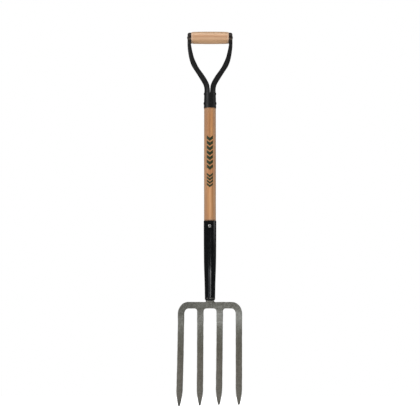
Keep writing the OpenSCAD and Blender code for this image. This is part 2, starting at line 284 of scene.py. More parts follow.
class Shader:
    """A material whose nodes are added one call at a time."""

    def __init__(self, name):
        """Starts on the material's own Principled BSDF, read in object coordinates."""
        self.material = bpy.data.materials.new(name)
        self.material.use_nodes = True
        self.tree = self.material.node_tree
        self.surface = self.tree.nodes["Principled BSDF"]
        self.place = self.add("ShaderNodeTexCoord").outputs["Object"]

    def add(self, kind, sockets=(), **settings):
        """A new node with its settings and sockets filled in."""
        made = self.tree.nodes.new(kind)
        for key, value in settings.items():
            setattr(made, key, value)
        for key, value in dict(sockets).items():
            self.put(made.inputs[key], value)
        return made

    def put(self, socket, value):
        """Links another node's output to a socket, or sets the socket's own value."""
        if isinstance(value, bpy.types.NodeSocket):
            self.tree.links.new(value, socket)
        else:
            socket.default_value = value

    def set(self, **values):
        """Sets the surface's inputs, named with _ for a space."""
        for key, value in values.items():
            self.put(self.surface.inputs[key.replace("_", " ")], value)

    def stretch(self, scale, vector=None, turn=(0, 0, 0)):
        """The place scaled along each axis, which stretches what is read there."""
        return self.add("ShaderNodeMapping", {"Vector": vector or self.place, "Scale": scale,
                                              "Rotation": turn}).outputs["Vector"]

    def noise(self, scale, vector=None, detail=3, rough=0.5, warp=0):
        """Noise around 0.5, with scale in lumps per metre."""
        return self.add("ShaderNodeTexNoise", {"Vector": vector or self.place, "Scale": scale,
                                               "Detail": detail, "Roughness": rough,
                                               "Distortion": warp}).outputs["Fac"]

    def math(self, operation, a, b=0.5, c=0.5):
        """One sum or comparison."""
        return self.add("ShaderNodeMath", {0: a, 1: b, 2: c}, operation=operation).outputs["Value"]

    def span(self, value, low, high, to_low=0, to_high=1):
        """value from low..high, held to that range, as to_low..to_high."""
        made = self.add("ShaderNodeMapRange", {"Value": value, "From Min": low, "From Max": high,
                                               "To Min": to_low, "To Max": to_high})
        return made.outputs["Result"]

    def mix(self, share, a, b, blend="MIX"):
        """Colour a, with this share of b."""
        made = self.add("ShaderNodeMix", data_type="RGBA", blend_type=blend)
        colours = [socket for socket in made.inputs if socket.type == "RGBA"]
        self.put(made.inputs["Factor"], share)
        self.put(colours[0], a)
        self.put(colours[1], b)
        return [socket for socket in made.outputs if socket.type == "RGBA"][0]

    def ramp(self, value, stops):
        """The colour at a value between (position, colour) stops."""
        made = self.add("ShaderNodeValToRGB", {"Fac": value})
        stock = made.color_ramp.elements
        while len(stock) < len(stops):
            stock.new(0.5)
        for element, (position, colour) in zip(stock, stops):
            element.position = position
            element.color = (*colour, 1)
        return made.outputs["Color"]

    def split(self, vector=None):
        """The three coordinates of a place."""
        made = self.add("ShaderNodeSeparateXYZ", {"Vector": vector or self.place})
        return made.outputs["X"], made.outputs["Y"], made.outputs["Z"]

    def bump(self, height, strength, distance, under=None):
        """A surface raised by height, on top of another bump where one is given."""
        sockets = {"Height": height, "Strength": strength, "Distance": distance}
        if under is not None:
            sockets["Normal"] = under
        return self.add("ShaderNodeBump", sockets).outputs["Normal"]

    def worn_edge(self, low, high):
        """0 on flats and 1 on convex edges."""
        return self.span(self.add("ShaderNodeNewGeometry").outputs["Pointiness"], low, high)


def rgb(red, green, blue):
    """A screen colour, 0 to 255 a channel, as the light values that shaders take."""
    return tuple(((c / 255 + 0.055) / 1.055) ** 2.4 if c > 10 else c / 255 / 12.92
                 for c in (red, green, blue))


def tint(red, green, blue):
    """The same as rgb, with an alpha of 1."""
    return (*rgb(red, green, blue), 1)


# ---- materials ----

def forged_steel():
    """Tumbled forged steel: fine grain and blotches; painted light and shade by height along the tines, with
    darker tips and a painted highlight band high up;
    a painted highlight, textured with scratches, at the left and middle roots; and painted shade on the left
    end."""
    s = Shader("forged_steel")
    x, _, height = s.split()
    slow = s.noise(15, s.stretch((1, 1, 0.6)), detail=2)
    grain = s.noise(300, detail=4, rough=0.65)
    speck = s.noise(1100, detail=3, rough=0.6)
    blotch = s.noise(150, detail=2, rough=0.5)
    rub = s.noise(170, s.stretch((1, 1, 0.06)), detail=3)
    scratch = s.span(s.noise(420, s.stretch((0.12, 0.12, 1), turn=(0, 0.12, 0)), detail=2), 0.60, 0.68)
    # painted light and shade by height: the tones along the tines stand in for how their curving faces catch
    # the light, with darker tips and a bright band high on the tines
    shading_height = s.span(s.math("MULTIPLY_ADD", slow, 50 * MM, height), 25 * MM, 315 * MM)
    grey = s.ramp(shading_height, [(0.00, rgb(110, 114, 112)), (0.07, rgb(130, 127, 119)), (0.38, rgb(128, 124, 114)),
                          (0.52, rgb(117, 114, 103)), (0.66, rgb(124, 124, 114)), (0.80, rgb(152, 152, 144)),
                          (0.90, rgb(137, 137, 129)), (1.00, rgb(131, 131, 123))])
    grey = s.mix(s.span(blotch, 0.36, 0.64, 0, 0.34), grey, tint(92, 88, 78))
    grey = s.mix(s.span(rub, 0.35, 0.7, 0, 0.30), grey, tint(84, 80, 72))
    grey = s.mix(s.span(grain, 0.5, 0.8, 0, 0.45), grey, tint(74, 72, 66))
    # painted highlight: the bright band high on the tines, broken up by the grain
    painted_highlight_band = s.math("MULTIPLY", s.span(shading_height, 0.55, 0.82), s.span(grain, 0.50, 0.34))
    grey = s.mix(s.math("MULTIPLY", painted_highlight_band, 0.55), grey, tint(168, 168, 162))
    grey = s.mix(s.span(speck, 0.55, 0.75, 0, 0.35), grey, tint(60, 58, 53))
    grey = s.mix(s.math("MULTIPLY", s.worn_edge(0.53, 0.62), 0.25), grey, tint(136, 135, 130))
    # painted shade: the left end of the head is made darker
    left = s.math("MULTIPLY", s.span(x, -8 * MM, -60 * MM), s.span(height, 228 * MM, 254 * MM))
    # painted highlight: a bright patch at the left and middle roots, textured with scratches
    patch = s.math("MULTIPLY", s.span(x, -50 * MM, 10 * MM),
                   s.math("MULTIPLY", s.span(height, 215 * MM, 240 * MM), s.span(height, 268 * MM, 252 * MM)))
    painted_root_highlight = s.math("MULTIPLY", patch, s.math("MULTIPLY_ADD", scratch, 0.55, 0.26))
    grey = s.mix(painted_root_highlight, grey, tint(200, 202, 198))
    grey = s.mix(s.math("MULTIPLY", left, 0.40), grey, tint(74, 74, 69))
    s.set(Base_Color=grey, Metallic=0.65)
    s.set(Roughness=s.span(s.math("ADD", grain, s.math("MULTIPLY", speck, 0.4)), 0.4, 1.0, 0.42, 0.60))
    scale_bump = s.bump(grain, 0.35, 0.35 * MM)
    s.set(Normal=s.bump(s.math("ADD", speck, s.math("MULTIPLY", rub, 0.6)), 0.25, 0.15 * MM, scale_bump))
    return s.material


def wood(name, along, palette, pith, tone):
    """Varnished straight-grained hardwood. along is the grain's axis, pith the heart's offset in metres."""
    s = Shader(name)

    def drawn_out(share):
        """The place with lengths along the grain shrunk to this share, so patterns run with it."""
        return s.stretch([share if letter == along else 1 for letter in "XYZ"])

    grain = drawn_out(0.05)
    x, y, z = s.split(grain)
    sides = [axis for axis, letter in ((x, "X"), (y, "Y"), (z, "Z")) if letter != along]
    wander = s.noise(26, grain, detail=2, rough=0.5)
    across = s.math("SUBTRACT", sides[0], pith[0])
    deep = s.math("SUBTRACT", sides[1], pith[1])
    heart = s.math("SQRT", s.math("ADD", s.math("MULTIPLY", across, across),
                                  s.math("MULTIPLY", deep, deep)))
    run = {"X": x, "Y": y, "Z": z}[along]
    heart = s.math("MULTIPLY_ADD", wander, 9 * MM, s.math("MULTIPLY_ADD", run, 0.22, heart))
    ring = s.math("FRACT", s.math("MULTIPLY", heart, 1 / (3.6 * MM)))
    early = s.math("MULTIPLY", s.span(ring, 0.0, 0.16), s.span(ring, 1.0, 0.30))
    fibre = s.noise(420, drawn_out(0.03), detail=4, rough=0.62)
    streak = s.noise(105, grain, detail=3, rough=0.55)
    cloud = s.noise(34, drawn_out(0.22), detail=2, rough=0.5)
    vein = s.noise(150, drawn_out(0.03), detail=2, rough=0.5)
    pore = s.span(s.noise(1500, drawn_out(0.02), detail=2), 0.60, 0.72)
    light, golden, reddish, dark, pale = palette
    colour = s.mix(s.span(streak, 0.30, 0.68), (*light, 1), (*golden, 1))
    colour = s.mix(s.span(cloud, 0.42, 0.68, 0, 0.75), colour, (*reddish, 1))
    colour = s.mix(s.math("MULTIPLY", early, 0.30), colour, (*dark, 1))
    colour = s.mix(s.span(vein, 0.50, 0.72, 0, 0.55), colour, (*dark, 1))
    colour = s.mix(s.span(fibre, 0.45, 0.75, 0, 0.38), colour, (*dark, 1))
    colour = s.mix(s.math("MULTIPLY", pore, 0.42), colour, (*dark, 1))
    colour = tone(s, colour, pale)
    s.set(Base_Color=colour)
    s.set(Roughness=s.span(s.math("ADD", fibre, early), 0.3, 1.6, 0.36, 0.58))
    s.set(Coat_Weight=0.18, Coat_Roughness=0.22, Specular_IOR_Level=0.35)
    relief = s.math("SUBTRACT", s.math("MULTIPLY", fibre, 0.6), pore)
    s.set(Normal=s.bump(relief, 0.20, 0.05 * MM, s.bump(early, 0.10, 0.12 * MM)))
    return s


def shaft_tone(s, colour, pale):
    """Paler wood at both ends, a painted reflection that pales the sides, a pale and a dark lane down the
    front, painted shadow on the wood next to the ferrule and the socket, the mark, and black in the socket."""
    x, y, z = s.split()
    ragged = s.noise(60, s.stretch((1, 1, 0.25)), detail=2)
    near_top = s.span(s.math("MULTIPLY_ADD", ragged, -20 * MM, z), socket_z - 34 * MM, socket_z - 8 * MM)
    near_foot = s.span(s.math("MULTIPLY_ADD", ragged, 16 * MM, z),
                       ferrule_high.z + 22 * MM, ferrule_high.z + 8 * MM)
    # painted reflection: the sides are blended towards the pale greyish tone, standing in for a grazing
    # reflection of the surroundings; the paler ends are wood tone
    side = s.span(s.math("ABSOLUTE", x), 0.40 * shaft_r, 0.92 * shaft_r, 0, 0.70)
    ends = s.math("MULTIPLY", s.math("MAXIMUM", near_top, near_foot), 0.35)
    colour = s.mix(s.math("MAXIMUM", ends, side), colour, (*pale, 1))
    sway = s.math("MULTIPLY_ADD", s.noise(26, s.stretch((0.6, 0.6, 0.4)), detail=2), 11 * MM, x)
    off_pale = s.math("ABSOLUTE", s.math("SUBTRACT", sway, 6.5 * MM))
    pale_lane = s.math("MULTIPLY", s.span(off_pale, 4.5 * MM, 1.2 * MM), s.span(z, 640 * MM, 590 * MM))
    dark_lane = s.span(s.math("ABSOLUTE", s.math("SUBTRACT", sway, -1 * MM)), 4.5 * MM, 1.5 * MM)
    colour = s.mix(s.math("MULTIPLY", pale_lane, 0.34), colour, tint(204, 158, 120))
    colour = s.mix(s.math("MULTIPLY", dark_lane, 0.35), colour, tint(146, 100, 62))
    # painted shadow: dark bands on the wood just above the ferrule's top edge and just below the socket's rim
    painted_contact_shadow = s.math("MAXIMUM", s.span(z, socket_z - 3.5 * MM, socket_z),
                   s.span(z, ferrule_high.z + 4.5 * MM, ferrule_high.z + 0.5 * MM))
    colour = s.mix(s.math("MULTIPLY", painted_contact_shadow, 0.55), colour, tint(92, 66, 48))
    colour = printed_mark(s, colour, x, y, z)
    return s.mix(s.math("GREATER_THAN", z, socket_z + 1.2 * MM), colour, tint(20, 18, 17))


def printed_mark(s, colour, x, y, z):
    """Whole chevrons printed on the front in dark green: seven, and four closer ones below."""
    half = 8.6 * MM
    middle = -0.5 * MM
    runs = ((646 * MM, 7, 13.3 * MM), (598 * MM, 4, 9.1 * MM))   # foot, count and pitch
    reach = s.math("ABSOLUTE", s.math("SUBTRACT", x, middle))
    slanted = s.math("MULTIPLY_ADD", reach, -0.8, z)
    inside = s.math("MULTIPLY", s.math("LESS_THAN", reach, half), s.math("LESS_THAN", y, 0))
    ink = 0.0
    for foot, count, pitch in runs:
        step = s.math("DIVIDE", s.math("SUBTRACT", slanted, foot), pitch)
        leaf = s.math("LESS_THAN", s.math("FRACT", step), 0.70)
        run = s.math("MULTIPLY", s.math("GREATER_THAN", step, 0), s.math("LESS_THAN", step, count))
        ink = s.math("MULTIPLY_ADD", leaf, run, ink)
    thin = s.span(s.noise(900, detail=3, rough=0.6), 0.36, 0.50, 0.84, 0.99)
    share = s.math("MULTIPLY", s.math("MULTIPLY", ink, inside), thin)
    return s.mix(share, colour, tint(18, 44, 14))


def shaft_wood():
    """Golden brown hardwood of the shaft."""
    palette = [rgb(*c) for c in ((190, 143, 94), (176, 126, 74), (174, 114, 72), (118, 76, 42),
                                 (144, 118, 96))]
    return wood("shaft_wood", "Z", palette, (0.012, 0.055), shaft_tone).material


def grip_tone(s, colour, pale):
    """Broad bands set by height across the grip, partly wood tone and partly painted light and shade, darker
    at its top and bottom; and paler bead ends. The palette's pale tone isn't used here.
    """
    x, _, z = s.split()
    sway = s.noise(30, s.stretch((0.6, 1, 1)), detail=2)
    # painted light and shade: colour follows height across the grip's diameter, together with wood bands
    shading_height = s.math("ADD", s.math("MULTIPLY", s.math("SUBTRACT", z, grip_z), 1 / (33 * MM)),
                   s.math("MULTIPLY_ADD", sway, 0.16, 0.42))
    band_and_shade = s.ramp(shading_height, [(0.00, rgb(140, 109, 76)), (0.20, rgb(154, 117, 80)), (0.32, rgb(190, 152, 116)),
                          (0.40, rgb(170, 134, 104)), (0.49, rgb(158, 114, 82)), (0.58, rgb(180, 136, 102)),
                          (0.70, rgb(206, 170, 138)), (0.80, rgb(184, 152, 118)), (1.00, rgb(140, 112, 84))])
    colour = s.mix(0.62, colour, band_and_shade)
    bead = CLEAR_X - BEAD_W
    ends = s.span(s.math("ABSOLUTE", x), bead - 0.6 * MM, bead + 0.6 * MM, 0, 0.35)
    return s.mix(ends, colour, tint(200, 178, 158))


def grip_wood():
    """Lighter hardwood of the cross grip."""
    palette = [rgb(*c) for c in ((212, 176, 142), (200, 160, 122), (194, 144, 110), (156, 113, 78),
                                 (184, 150, 122))]
    return wood("grip_wood", "X", palette, (0.07, grip_z - 0.05), grip_tone).material


def black_paint(name, shade, rough, coat, peel, wear, tone=None):
    """Black paint on steel: orange peel, faint dust and scuffs, and thin spots on the edges."""
    s = Shader(name)
    dust = s.noise(55, detail=4, rough=0.6)
    skin = s.noise(420, detail=2, rough=0.5)
    scuff = s.span(s.noise(260, s.stretch((1, 1, 0.12)), detail=3, rough=0.7), 0.66, 0.74)
    colour = s.mix(s.span(dust, 0.35, 0.75), tint(*shade), tint(*[c * 1.35 + 2 for c in shade]))
    colour = s.mix(s.math("MULTIPLY", scuff, 0.16), colour, tint(110, 110, 108))
    rubbed = s.math("MULTIPLY", s.worn_edge(0.56, 0.66), s.span(dust, 0.4, 0.7, 0, wear))
    colour = s.mix(rubbed, colour, tint(96, 92, 86))
    s.set(Coat_Weight=coat, Coat_Roughness=0.08, Specular_IOR_Level=0.35)
    s.set(Roughness=s.span(s.math("ADD", dust, s.math("MULTIPLY", scuff, 0.5)), 0.3, 1.0,
                           rough, rough + 0.12))
    s.set(Normal=s.bump(skin, peel, 0.06 * MM, s.bump(dust, 0.06, 0.2 * MM)))
    s.set(Base_Color=tone(s, colour) if tone else colour)
    return s.material


def lip_painted_glint(s, colour):
    """Painted highlight spots along the edge of the ferrule's turned-in lip, drawn as pale bare-looking
    steel.
    """
    _, _, z = s.split()
    rise = s.math("SUBTRACT", z, ferrule_low.z)
    # painted highlight: a broken ring of pale spots on the lip's edge
    ring = s.span(s.math("ABSOLUTE", s.math("SUBTRACT", rise, 6.0 * MM)), 1.4 * MM, 0.4 * MM)
    painted_glint = s.math("MULTIPLY", ring, s.span(s.noise(300, detail=3), 0.44, 0.62, 0, 0.7))
    return s.mix(painted_glint, colour, tint(112, 110, 104))


def cup_painted_reflections(s, colour):
    """Painted reflection on the cups round the grip: a warm brownish tone on their upper part for the wooden
    grip reflected in the paint, and a painted highlight line across them, broken up by noise.
    """
    _, _, z = s.split()
    # painted reflection: warm brownish tone on the upper cups, standing in for the wooden grip seen in the
    # black paint
    cup = s.span(z, grip_z - 16 * MM, grip_z - 6 * MM, 0, 0.85)
    colour = s.mix(cup, colour, tint(32, 22, 14))
    # painted highlight: a pale line across the cups just below the grip's axis
    line = s.span(s.math("ABSOLUTE", s.math("SUBTRACT", z, grip_z - 5 * MM)), 3.2 * MM, 1 * MM)
    painted_glint = s.math("MULTIPLY", line, s.span(s.noise(190, detail=2), 0.35, 0.60, 0.1, 0.7))
    return s.mix(painted_glint, colour, tint(108, 94, 80))


def bright_steel():
    """Peened bright steel: facets, fine scratches and a dull film."""
    s = Shader("bright_steel")
    facet = s.noise(420, detail=3, rough=0.6)
    film = s.noise(160, detail=4, rough=0.6)
    colour = s.ramp(film, [(0.3, rgb(140, 140, 137)), (0.7, rgb(182, 182, 180))])
    s.set(Base_Color=colour, Metallic=0.8, Roughness=s.span(film, 0.3, 0.7, 0.22, 0.42))
    s.set(Normal=s.bump(facet, 0.5, 0.3 * MM))
    return s.material


# ---- fork head ----

def bar_ring(half, front, back):
    """Section of a bar: points (across, y) round a box with its front and back edges rounded."""
    limit = min(half, (back - front) / 2) * 0.98
    front_r, back_r = min(FRONT_EDGE, limit), min(BACK_EDGE, limit)
    corners = ((front_r - half, front + front_r, front_r), (half - front_r, front + front_r, front_r),
               (half - back_r, back - back_r, back_r), (back_r - half, back - back_r, back_r))
    out = []
    for quarter, (a, y, radius) in enumerate(corners):
        for k in range(6):
            angle = math.pi + (quarter + k / 5) * math.pi / 2
            out.append((a + radius * math.cos(angle), y + radius * math.sin(angle)))
    return out


def tine_depths(z):
    """Front and back of a tine at a height: both curve forwards, and the tine thins to its point."""
    down = (bend_z - z) / bend_z if z < bend_z else 0
    reach = -head_low.y - BAR_T / 2
    front = -BAR_T / 2 - reach * down ** 2 + SHOULDER * smoothstep(222 * MM, 262 * MM, z)
    back = BAR_T / 2 - (reach + 5.4 * MM) * down ** 2
    point = smoothstep(42 * MM, 0, z)
    front += 1.9 * MM * smoothstep(9 * MM, 0, z)
    return front, back - 2.6 * MM * point * smoothstep(26 * MM, 0, z)


POINT_HALF = [(0, 1.6 * MM), (1.2 * MM, 2.5 * MM), (5 * MM, 3.6 * MM), (14 * MM, 5.4 * MM),
              (24 * MM, 7.1 * MM), (34 * MM, 8.3 * MM), (43 * MM, 8.9 * MM), (60 * MM, 8.9 * MM)]


def tine_station(index, z):
    """Centre and half width of one tine at a height above its own tip's height."""
    down = max(bend_z - z, 0) / bend_z
    centre = TINE_X[index] + TINE_LEAN[index] * down ** 1.55
    half = curve_at(POINT_HALF, z - TINE_SHORT[index])
    return centre, half - TINE_SLIM * smoothstep(0, 0.15, down)


def tine_heights(index, top):
    """Heights of a tine's sections, closer together towards the point."""
    tip = TINE_SHORT[index]
    fine = [tip + f * MM for f in (0, 0.5, 1.2, 2.5, 4.5, 7, 10, 14, 18, 23, 28, 34, 40)]
    count = 60
    return fine + [tip + 44 * MM + (top - tip - 44 * MM) * k / count for k in range(count + 1)]


def outer_bar():
    """The two outer tines, the end bends and the crossbar as one forged bar."""
    rings = []
    for z in tine_heights(0, bend_z):
        centre, half = tine_station(0, z)
        front, back = tine_depths(z)
        rings.append([(centre - u, y, z) for u, y in bar_ring(half, front, back)])
    for side in (-1, 1):
        turns = range(1, 13) if side < 0 else range(11, -1, -1)
        for k in turns:
            angle = k / 12 * math.pi / 2
            cx = side * (TINE_X[3] - BEND_RX)
            centre = Vector((cx + side * BEND_RX * math.cos(angle), bend_z + BEND_RZ * math.sin(angle)))
            out = Vector((side * BEND_RZ * math.cos(angle), BEND_RX * math.sin(angle))).normalized()
            rings.append([(centre.x + out.x * u, y, centre.y + out.y * u)
                          for u, y in bar_ring(TINE_W / 2, -BAR_T / 2, BAR_T / 2)])
    for z in reversed(tine_heights(3, bend_z)[:-1]):
        centre, half = tine_station(3, z)
        front, back = tine_depths(z)
        rings.append([(centre + u, y, z) for u, y in bar_ring(half, front, back)])
    return loft(rings)


def middle_tine(index):
    """A middle tine, flared into the crossbar at its root."""
    rings = []
    under = bar_z - TINE_W / 2
    heights = tine_heights(index, under - ROOT_R)
    heights += [under - ROOT_R + ROOT_R * math.sin(k / 10 * math.pi / 2) for k in range(1, 11)]
    heights += [under + 3 * MM, bar_z]
    for z in heights:
        centre, half = tine_station(index, z)
        rise = min(max(z - (under - ROOT_R), 0), ROOT_R)
        half += ROOT_R - math.sqrt(ROOT_R ** 2 - rise ** 2)
        front, back = tine_depths(z)
        rings.append([(centre + u, y, z) for u, y in bar_ring(half, front, back)])
    return loft(rings)


def neck():
    """Boss on the crossbar, flattened front to back, with the round neck and the tang above it."""
    top = ferrule_low.z + 4 * MM
    centre = bar_z + 5.0 * MM
    boss = 13.2 * MM
    profile = [(0.4 * MM, centre - boss)]
    for k in range(1, 19):
        angle = -math.pi / 2 + k / 18 * math.pi * 0.62
        profile.append((boss * math.cos(angle), centre + boss * math.sin(angle)))
    profile += [(NECK_R, tread_z + 2.2 * MM), (NECK_R, top), (8 * MM, top + 1 * MM),
                (3.5 * MM, head_high.z - 1 * MM), (2.6 * MM, head_high.z)]
    rings = []
    for radius, z in profile:
        flat = 1 - 0.30 * smoothstep(tread_z + 3 * MM, centre, z)
        turns = [2 * math.pi * k / 64 for k in range(64)]
        rings.append([(radius * math.cos(t), radius * flat * math.sin(t), z) for t in turns])
    return loft(rings)


def forged(co):
    """How much each place on the head is evened out: most around the boss and the roots."""
    near_boss = np.linalg.norm((co - np.array((0, 0, bar_z))) / np.array((24, 20, 12)) / MM, axis=1)
    return 0.22 + 0.5 * np.clip(1.6 - near_boss, 0, 1)


def fork_head():
    """The forging: bar, middle tines and neck joined in one skin, evened out and slightly uneven."""
    piece = new_mesh("fork_head_body", outer_bar(), middle_tine(1), middle_tine(2), neck(), sharp=0)
    remesh = piece.modifiers.new("join", "REMESH")
    remesh.mode = "VOXEL"
    remesh.voxel_size = 0.9 * MM
    applied(piece)
    relax(piece, 5, forged)
    dent(piece, ((0.34 * MM, 16 * MM), (0.16 * MM, 6 * MM), (0.06 * MM, 2.6 * MM)))
    piece.data.shade_smooth()
    return finish_piece(piece, "fork_head", forged_steel())


# ---- ferrule, shaft and rivets ----

FERRULE_OUT = [(0, 14.0 * MM), (4 * MM, 14.05 * MM), (22 * MM, 14.38 * MM), (44 * MM, 14.82 * MM),
               (66 * MM, 15.45 * MM), (84 * MM, 16.15 * MM), (100 * MM, 16.55 * MM), (121 * MM, 16.9 * MM),
               (165 * MM, 17.19 * MM), (ferrule_high.z - ferrule_low.z, 17.35 * MM)]
FERRULE_WALL = 0.95 * MM


def ferrule():
    """Tapered steel ferrule with a turned-in lip at its foot and a rolled top edge."""
    low, high = ferrule_low.z, ferrule_high.z
    lip = 4.2 * MM
    hole = 10.6 * MM
    body = [(curve_at(FERRULE_OUT, h), low + h) for h in np.linspace(8 * MM, high - low - 2 * MM, 72)]
    foot = rounded([(hole, low + 0.9 * MM, 0), (hole + 0.1 * MM, low, 0.4 * MM), (11.9 * MM, low, 0.5 * MM),
                    (14.15 * MM, low + lip, 1.8 * MM), (*body[0], 0)])
    brim = ferrule_high.x
    rim = rounded([(*body[-1], 0), (brim, high, 0.42 * MM), (brim - FERRULE_WALL, high, 0.42 * MM),
                   (brim - FERRULE_WALL, high - 2 * MM, 0)])
    inside = [(curve_at(FERRULE_OUT, h) - FERRULE_WALL, low + h)
              for h in np.linspace(high - low - 4 * MM, 8 * MM, 40)]
    inside.append((hole + 1.2 * MM, low + 3.2 * MM))
    loop = [*foot, *body[1:-1], *rim, *inside]
    loop.append(loop[0])
    piece = new_mesh("ferrule_tube", turned(loop, segments=112))
    paint = black_paint("gloss_black", (8, 9, 10), 0.12, 0.3, 0.02, 0.2, lip_painted_glint)
    return finish_piece(piece, "ferrule", paint)


def shaft():
    """Turned wooden shaft, with its foot in the ferrule and its tenon in the D-grip's socket."""
    low, high = shaft_low.z, shaft_high.z
    gap = FERRULE_WALL + 0.08 * MM
    profile = [(0, low), (curve_at(FERRULE_OUT, low - ferrule_low.z) - gap - 1 * MM, low)]
    for z in np.linspace(low + 1.5 * MM, ferrule_high.z - 2 * MM, 30):
        profile.append((curve_at(FERRULE_OUT, z - ferrule_low.z) - gap, z))
    shoulder = ferrule_high.z + 0.8 * MM
    profile.append((shaft_r - 0.3 * MM, shoulder - 0.5 * MM))
    for z in np.linspace(shoulder, socket_z - 1 * MM, 60):
        wave = 0.06 * MM * math.sin(31 * z) + 0.04 * MM * math.sin(77 * z)
        profile.append((shaft_r + wave - 0.05 * MM, z))
    tenon_r = shaft_r - 1.9 * MM
    profile += [(shaft_r - 0.35 * MM, socket_z - 0.35 * MM), (tenon_r + 0.6 * MM, socket_z - 0.3 * MM),
                (tenon_r, high - 2 * MM), (tenon_r - 1.4 * MM, high), (0, high)]
    piece = new_mesh("shaft_wood", turned(profile, segments=128))
    return finish_piece(piece, "shaft", shaft_wood())


def rivet_pin(name, axis, centre, shank_r, half, head_r, head_h, uneven):
    """A pin with a domed head at each end. half is the distance from its middle to the heads' tops."""
    seat = half - head_h
    cap = (head_r ** 2 + head_h ** 2) / (2 * head_h)
    spread = math.asin(min(head_r / cap, 1))
    dome = []
    for k in range(13):
        angle = spread * (1 - k / 12)
        dome.append((cap * math.sin(angle), seat + head_h - cap + cap * math.cos(angle)))
    rim = [(shank_r, seat - 1.3 * MM), (head_r * 0.96, seat - 1.2 * MM), (head_r, seat - 0.6 * MM)]
    top = rim + dome
    under = [(r, -h) for r, h in reversed(top)]
    piece = new_mesh(name, turned(under + top, axis, centre, segments=48))
    if uneven:
        dent(piece, ((uneven, 3.4 * MM), (uneven * 0.6, 1.5 * MM)))
    return piece


def ferrule_rivet():
    """Bright rivet through the ferrule, a little left of its middle."""
    aside = -1.2 * MM
    piece = rivet_pin("ferrule_rivet_pin", "Y", (aside, 0, rivet_z), 2.6 * MM,
                      rivet_high.y - 0.1 * MM, 4.4 * MM, 1.7 * MM, 0.2 * MM)
    return finish_piece(piece, "ferrule_rivet", bright_steel())


def socket_rivet(node, paint):
    """Painted rivet across the D-grip's socket."""
    low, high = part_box(node)
    piece = rivet_pin(node + "_pin", "X", (0, 0, (low.z + high.z) / 2), 2.9 * MM, high.x - 0.05 * MM,
                      4.9 * MM, 1.7 * MM, 0.16 * MM)
    return finish_piece(piece, node, paint)


def grip_rod(paint):
    """Painted rod through the cross grip and both cups."""
    piece = rivet_pin("grip_rod_pin", "X", (0, 0, grip_z), 3.5 * MM, rod_high.x - 0.05 * MM,
                      4.9 * MM, 1.2 * MM, 0.1 * MM)
    return finish_piece(piece, "grip_rod", paint)


# ---- D-grip halves ----

ARM_OUT = [(h * MM, x * MM) for h, x in (
    (0, 17.35), (5, 17.0), (12, 16.7), (26, 16.5), (42, 15.9), (51, 15.5), (60, 16.7), (66.3, 18.8),
    (76.2, 24.1), (90, 32.1), (103.5, 40.8), (117.6, 49.7), (131.5, 55.25), (145.5, 58.6),
    (159.1, 60.7), (173.5, 62.2), (196, 62.2))]
ARM_IN = [(h * MM, x * MM) for h, x in (
    (0, 0.5), (40, 0.5), (49, 0.7), (56, 1.3), (63.1, 2.5), (70.4, 5.3), (81.5, 11.3), (92.5, 18.5),
    (103.5, 26.4), (114.5, 33.4), (124.2, 38.15), (132.5, 41.9), (142.6, 45.6), (150.7, 47.6),
    (159.5, 49.75), (168, 51.4), (176, 52.7), (180.5, 52.9), (184, 52.2), (186, 52.0), (196, 52.0))]
ARM_DEEP = [(h * MM, y * MM) for h, y in (
    (0, 16.7), (44, 15.85), (52, 15.5), (62, 14.8), (76, 14.0), (96, 13.3), (133, 12.8), (169, 12.8),
    (184, 13.3), (196, 14.4))]


def slope_at(points, value):
    """How steeply the smooth curve through the points rises at a position."""
    step = 0.5 * MM
    return (curve_at(points, value + step) - curve_at(points, value - step)) / (2 * step)


def half_section(inner, outer, deep, corner_x, corner_y, boxy):
    """Front half of an arm's section, from its free edge to the middle of its outer face: (x, y) points.
    boxy blends from a half-round socket, 0, to a channel with rounded corners, 1."""
    flat, arc, web = 7, 9, 8
    box = [(inner + (outer - corner_x - inner) * k / flat, -deep) for k in range(flat)]
    box += [(outer - corner_x + corner_x * math.sin(k / arc * math.pi / 2),
             -deep + corner_y - corner_y * math.cos(k / arc * math.pi / 2)) for k in range(arc)]
    box += [(outer, (corner_y - deep) * (1 - k / web)) for k in range(web + 1)]
    count = len(box) - 1
    start = math.asin(min(inner / outer, 1)) if boxy == 0 else 0
    out = []
    for k, (bx, by) in enumerate(box):
        angle = k / count * math.pi / 2
        if start:
            angle = start + (math.pi / 2 - start) * k / count
            round_x = outer * math.sin(angle)
        else:
            round_x = inner + (outer - inner) * math.sin(angle)
        round_y = -deep * math.cos(angle)
        out.append((round_x + (bx - round_x) * boxy, round_y + (by - round_y) * boxy))
    return out


def yoke_section(height):
    """Outer and inner half sections at a height above the rim, as (x, y) points."""
    outer, inner = curve_at(ARM_OUT, height), curve_at(ARM_IN, height)
    deep = curve_at(ARM_DEEP, height) if height > 44 * MM else outer
    boxy = smoothstep(44 * MM, 92 * MM, height)
    lean = math.sqrt(1 + slope_at(ARM_OUT, height) ** 2)
    wide = outer - inner
    corner_y = min(5.2 * MM, deep * 0.6)
    corner_x = min(corner_y * lean, wide * 0.62)
    thick_x = min(SHEET * lean, wide * 0.4)
    shell = half_section(inner, outer, deep, corner_x, corner_y, boxy)
    lining = half_section(inner, outer - thick_x, deep - SHEET, max(corner_x - thick_x, 0.8 * MM),
                          max(corner_y - SHEET, 0.8 * MM), boxy)
    return shell, lining


def yoke_ring(shell, lining):
    """A closed ring from a front half: outside front to back, then inside back to front, with round lips."""
    outside = shell + [(x, -y, z) for x, y, z in reversed(shell[:-1])]
    inside = lining + [(x, -y, z) for x, y, z in reversed(lining[:-1])]
    middle = [Vector(a).lerp(Vector(b), 0.5) for a, b in ((outside[-1], inside[-1]), (inside[0], outside[0]))]
    lips = [tuple(m - Vector((0.3 * MM, 0, 0))) for m in middle]
    return [*outside, lips[0], *reversed(inside), lips[1]]


